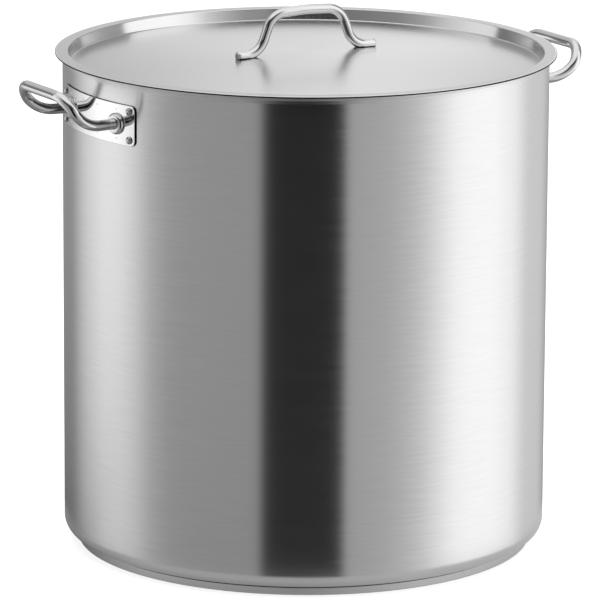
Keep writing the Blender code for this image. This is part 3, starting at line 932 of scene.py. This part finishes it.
def floor_shade():
    """A clear tinted sheet over the floor, for reflections only, darker towards the pot."""
    sheet = disc("floor_shade", SHADE_RADIUS, 1.0, 0.0)
    sheet.visible_camera = False
    sheet.visible_diffuse = False
    tree = sheet.data.materials[0].node_tree
    tree.nodes.clear()
    nodes = Nodes(tree)
    spot = nodes.add("ShaderNodeTexCoord").outputs["Object"]
    x, y = nodes.add("ShaderNodeSeparateXYZ", {"Vector": spot}).outputs[:2]
    bearing = bearing_of(nodes, x, y)
    near = nodes.spread(bearing, SHADE_DARK, SHADE_FRONT, *SHADE_FRONT_BLEND)
    lift = nodes.spread(bearing, 0, SHADE_RIGHT_LIFT, *SHADE_RIGHT_BLEND)
    near = nodes.math("ADD", near, lift)
    reach = nodes.add("ShaderNodeVectorMath", {0: spot}, operation="LENGTH").outputs["Value"]
    outward = nodes.spread(reach, 0, 1, BODY_RADIUS, SHADE_RADIUS)
    share = nodes.math("POWER", outward, SHADE_FALLOFF)
    level = nodes.between(share, near, 1.0)
    tint = nodes.add("ShaderNodeCombineColor", {channel: level for channel in range(3)})
    veil = nodes.add("ShaderNodeBsdfTransparent", {"Color": tint.outputs[0]})
    out = nodes.add("ShaderNodeOutputMaterial")
    tree.links.new(veil.outputs[0], out.inputs["Surface"])


def ring_of_light(nodes, share, stops):
    """Brightness by bearing; share runs from 0 to 1 round the pot, from behind it to behind it."""
    ring = nodes.add("ShaderNodeValToRGB", {"Fac": share})
    elements = ring.color_ramp.elements
    while len(elements) < len(stops):
        elements.new(0.5)
    for element, (angle, level) in zip(elements, stops):
        element.position = angle / 360 + 0.5
        element.color = [level / RAMP_PEAK] * 3 + [1]
    return nodes.math("MULTIPLY", ring.outputs[0], RAMP_PEAK)


def studio_world():
    """A soft studio: white to the camera, and for light three rings, overhead and underfoot."""
    world = bpy.data.worlds.new("studio")
    bpy.context.scene.world = world
    world.use_nodes = True
    nodes = Nodes(world.node_tree)
    world.node_tree.nodes.clear()
    way = nodes.add("ShaderNodeTexCoord").outputs["Generated"]
    x, y, z = nodes.add("ShaderNodeSeparateXYZ", {"Vector": way}).outputs
    share = nodes.math("ADD", nodes.math("DIVIDE", bearing_of(nodes, x, y), math.tau), 0.5)
    low, high, top = [
        ring_of_light(nodes, share, stops) for stops in (STUDIO_LOW, STUDIO_HIGH, STUDIO_TOP)
    ]
    level = nodes.between(nodes.spread(z, 0, 1, *HORIZON_BLEND), low, high)
    level = nodes.between(nodes.spread(z, 0, 1, *TOP_BLEND), level, top)
    level = nodes.between(nodes.spread(z, 0, 1, *OVERHEAD_BLEND), level, OVERHEAD_LEVEL)
    level = nodes.between(nodes.spread(z, 0, 1, *UNDERFOOT_BLEND), level, UNDERFOOT_LEVEL)
    seen = nodes.add("ShaderNodeLightPath").outputs["Is Camera Ray"]
    level = nodes.between(seen, level, 1.0)
    light = nodes.add("ShaderNodeBackground", {"Color": (1, 1, 1, 1), "Strength": level})
    out = nodes.add("ShaderNodeOutputWorld")
    world.node_tree.links.new(light.outputs[0], out.inputs["Surface"])


def floor_light():
    """A soft light above the floor, which the metal doesn't mirror."""
    lamp = bpy.data.lights.new("overhead_softbox", "AREA")
    lamp.shape = "SQUARE"
    lamp.size = SOFTBOX_SIZE
    lamp.energy = SOFTBOX_WATTS
    box = bpy.data.objects.new("overhead_softbox", lamp)
    box.location = (0, 0, SOFTBOX_HEIGHT)
    box.visible_camera = False
    box.visible_glossy = False
    bpy.context.scene.collection.objects.link(box)


def camera():
    """The camera, rolled a little about the way it looks."""
    lens = bpy.data.cameras.new("camera")
    lens.lens = CAMERA_LENS
    lens.clip_start = 0.1
    lens.clip_end = 100
    piece = bpy.data.objects.new("camera", lens)
    heading = CAMERA_AZIMUTH - CAMERA_YAW
    ahead = Vector((-math.sin(heading) * math.cos(CAMERA_PITCH),
                    math.cos(heading) * math.cos(CAMERA_PITCH),
                    math.sin(CAMERA_PITCH)))
    right = ahead.cross(Vector((0, 0, 1))).normalized()
    up = right.cross(ahead)
    rolled_right = right * math.cos(CAMERA_ROLL) + up * math.sin(CAMERA_ROLL)
    rolled_up = up * math.cos(CAMERA_ROLL) - right * math.sin(CAMERA_ROLL)
    turn = Matrix((rolled_right, rolled_up, -ahead)).transposed().to_4x4()
    eye = Vector((math.sin(CAMERA_AZIMUTH) * CAMERA_DISTANCE,
                  -math.cos(CAMERA_AZIMUTH) * CAMERA_DISTANCE,
                  CAMERA_HEIGHT))
    piece.matrix_world = Matrix.Translation(eye) @ turn
    bpy.context.scene.collection.objects.link(piece)
    bpy.context.scene.camera = piece


# ---------------------------------------------------------------- assembly

def place(piece, body, node):
    """Puts a finished piece on its body, in place of its CAD node."""
    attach(piece, body)
    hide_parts(node)


def side_handle(side, turn, metals):
    """One side handle; turned half round, its first leg is the back one."""
    ends = ("front", "back") if turn == 0 else ("back", "front")
    plate = handle_plate(f"{side}_plate", turn, metals["mirror"], metals["painted_shade"])
    place(plate, "pot", f"handle_plate_{side}")
    tube = handle_tube(f"{side}_grip_tube", turn, metals["rod"])
    place(tube, "pot", f"handle_loop_{side}")
    for end, where in zip((-1, 1), ends):
        ring = handle_ferrule(f"{side}_{where}_ferrule", end, turn, metals["rod"])
        place(ring, "pot", f"handle_ferrule_{side}_{where}")
        for level in ("lower", "upper"):
            node = f"rivet_{side}_{where}_{level}"
            stud = rivet(f"{side}_{where}_{level}_rivet", node, metals["rivet"])
            place(stud, "pot", node)


def main():
    metals = make_materials()
    shell = body_shell(metals["body"], metals["rim"], metals["bead"], metals["inside"])
    place(shell, "pot", "pot_body")
    place(base_pan(metals["base"]), "pot", "base_cap")
    seam = base_seam(metals["seam"])
    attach(seam, "pot")
    pressing = lid_pressing(
        metals["lid"], metals["lid_wall"], metals["flange"], metals["painted_shade"],
    )
    place(pressing, "lid", "lid")
    place(lid_rod(metals["rod"], metals["painted_shade"]), "lid", "lid_handle")
    side_handle("right", 0, metals)
    side_handle("left", math.pi, metals)
    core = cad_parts["base_core"]
    core.material_slots[0].material = metals["core"]
    floor()
    floor_shade()
    studio_world()
    floor_light()
    camera()
    bpy.context.scene.view_settings.view_transform = "Standard"


main()
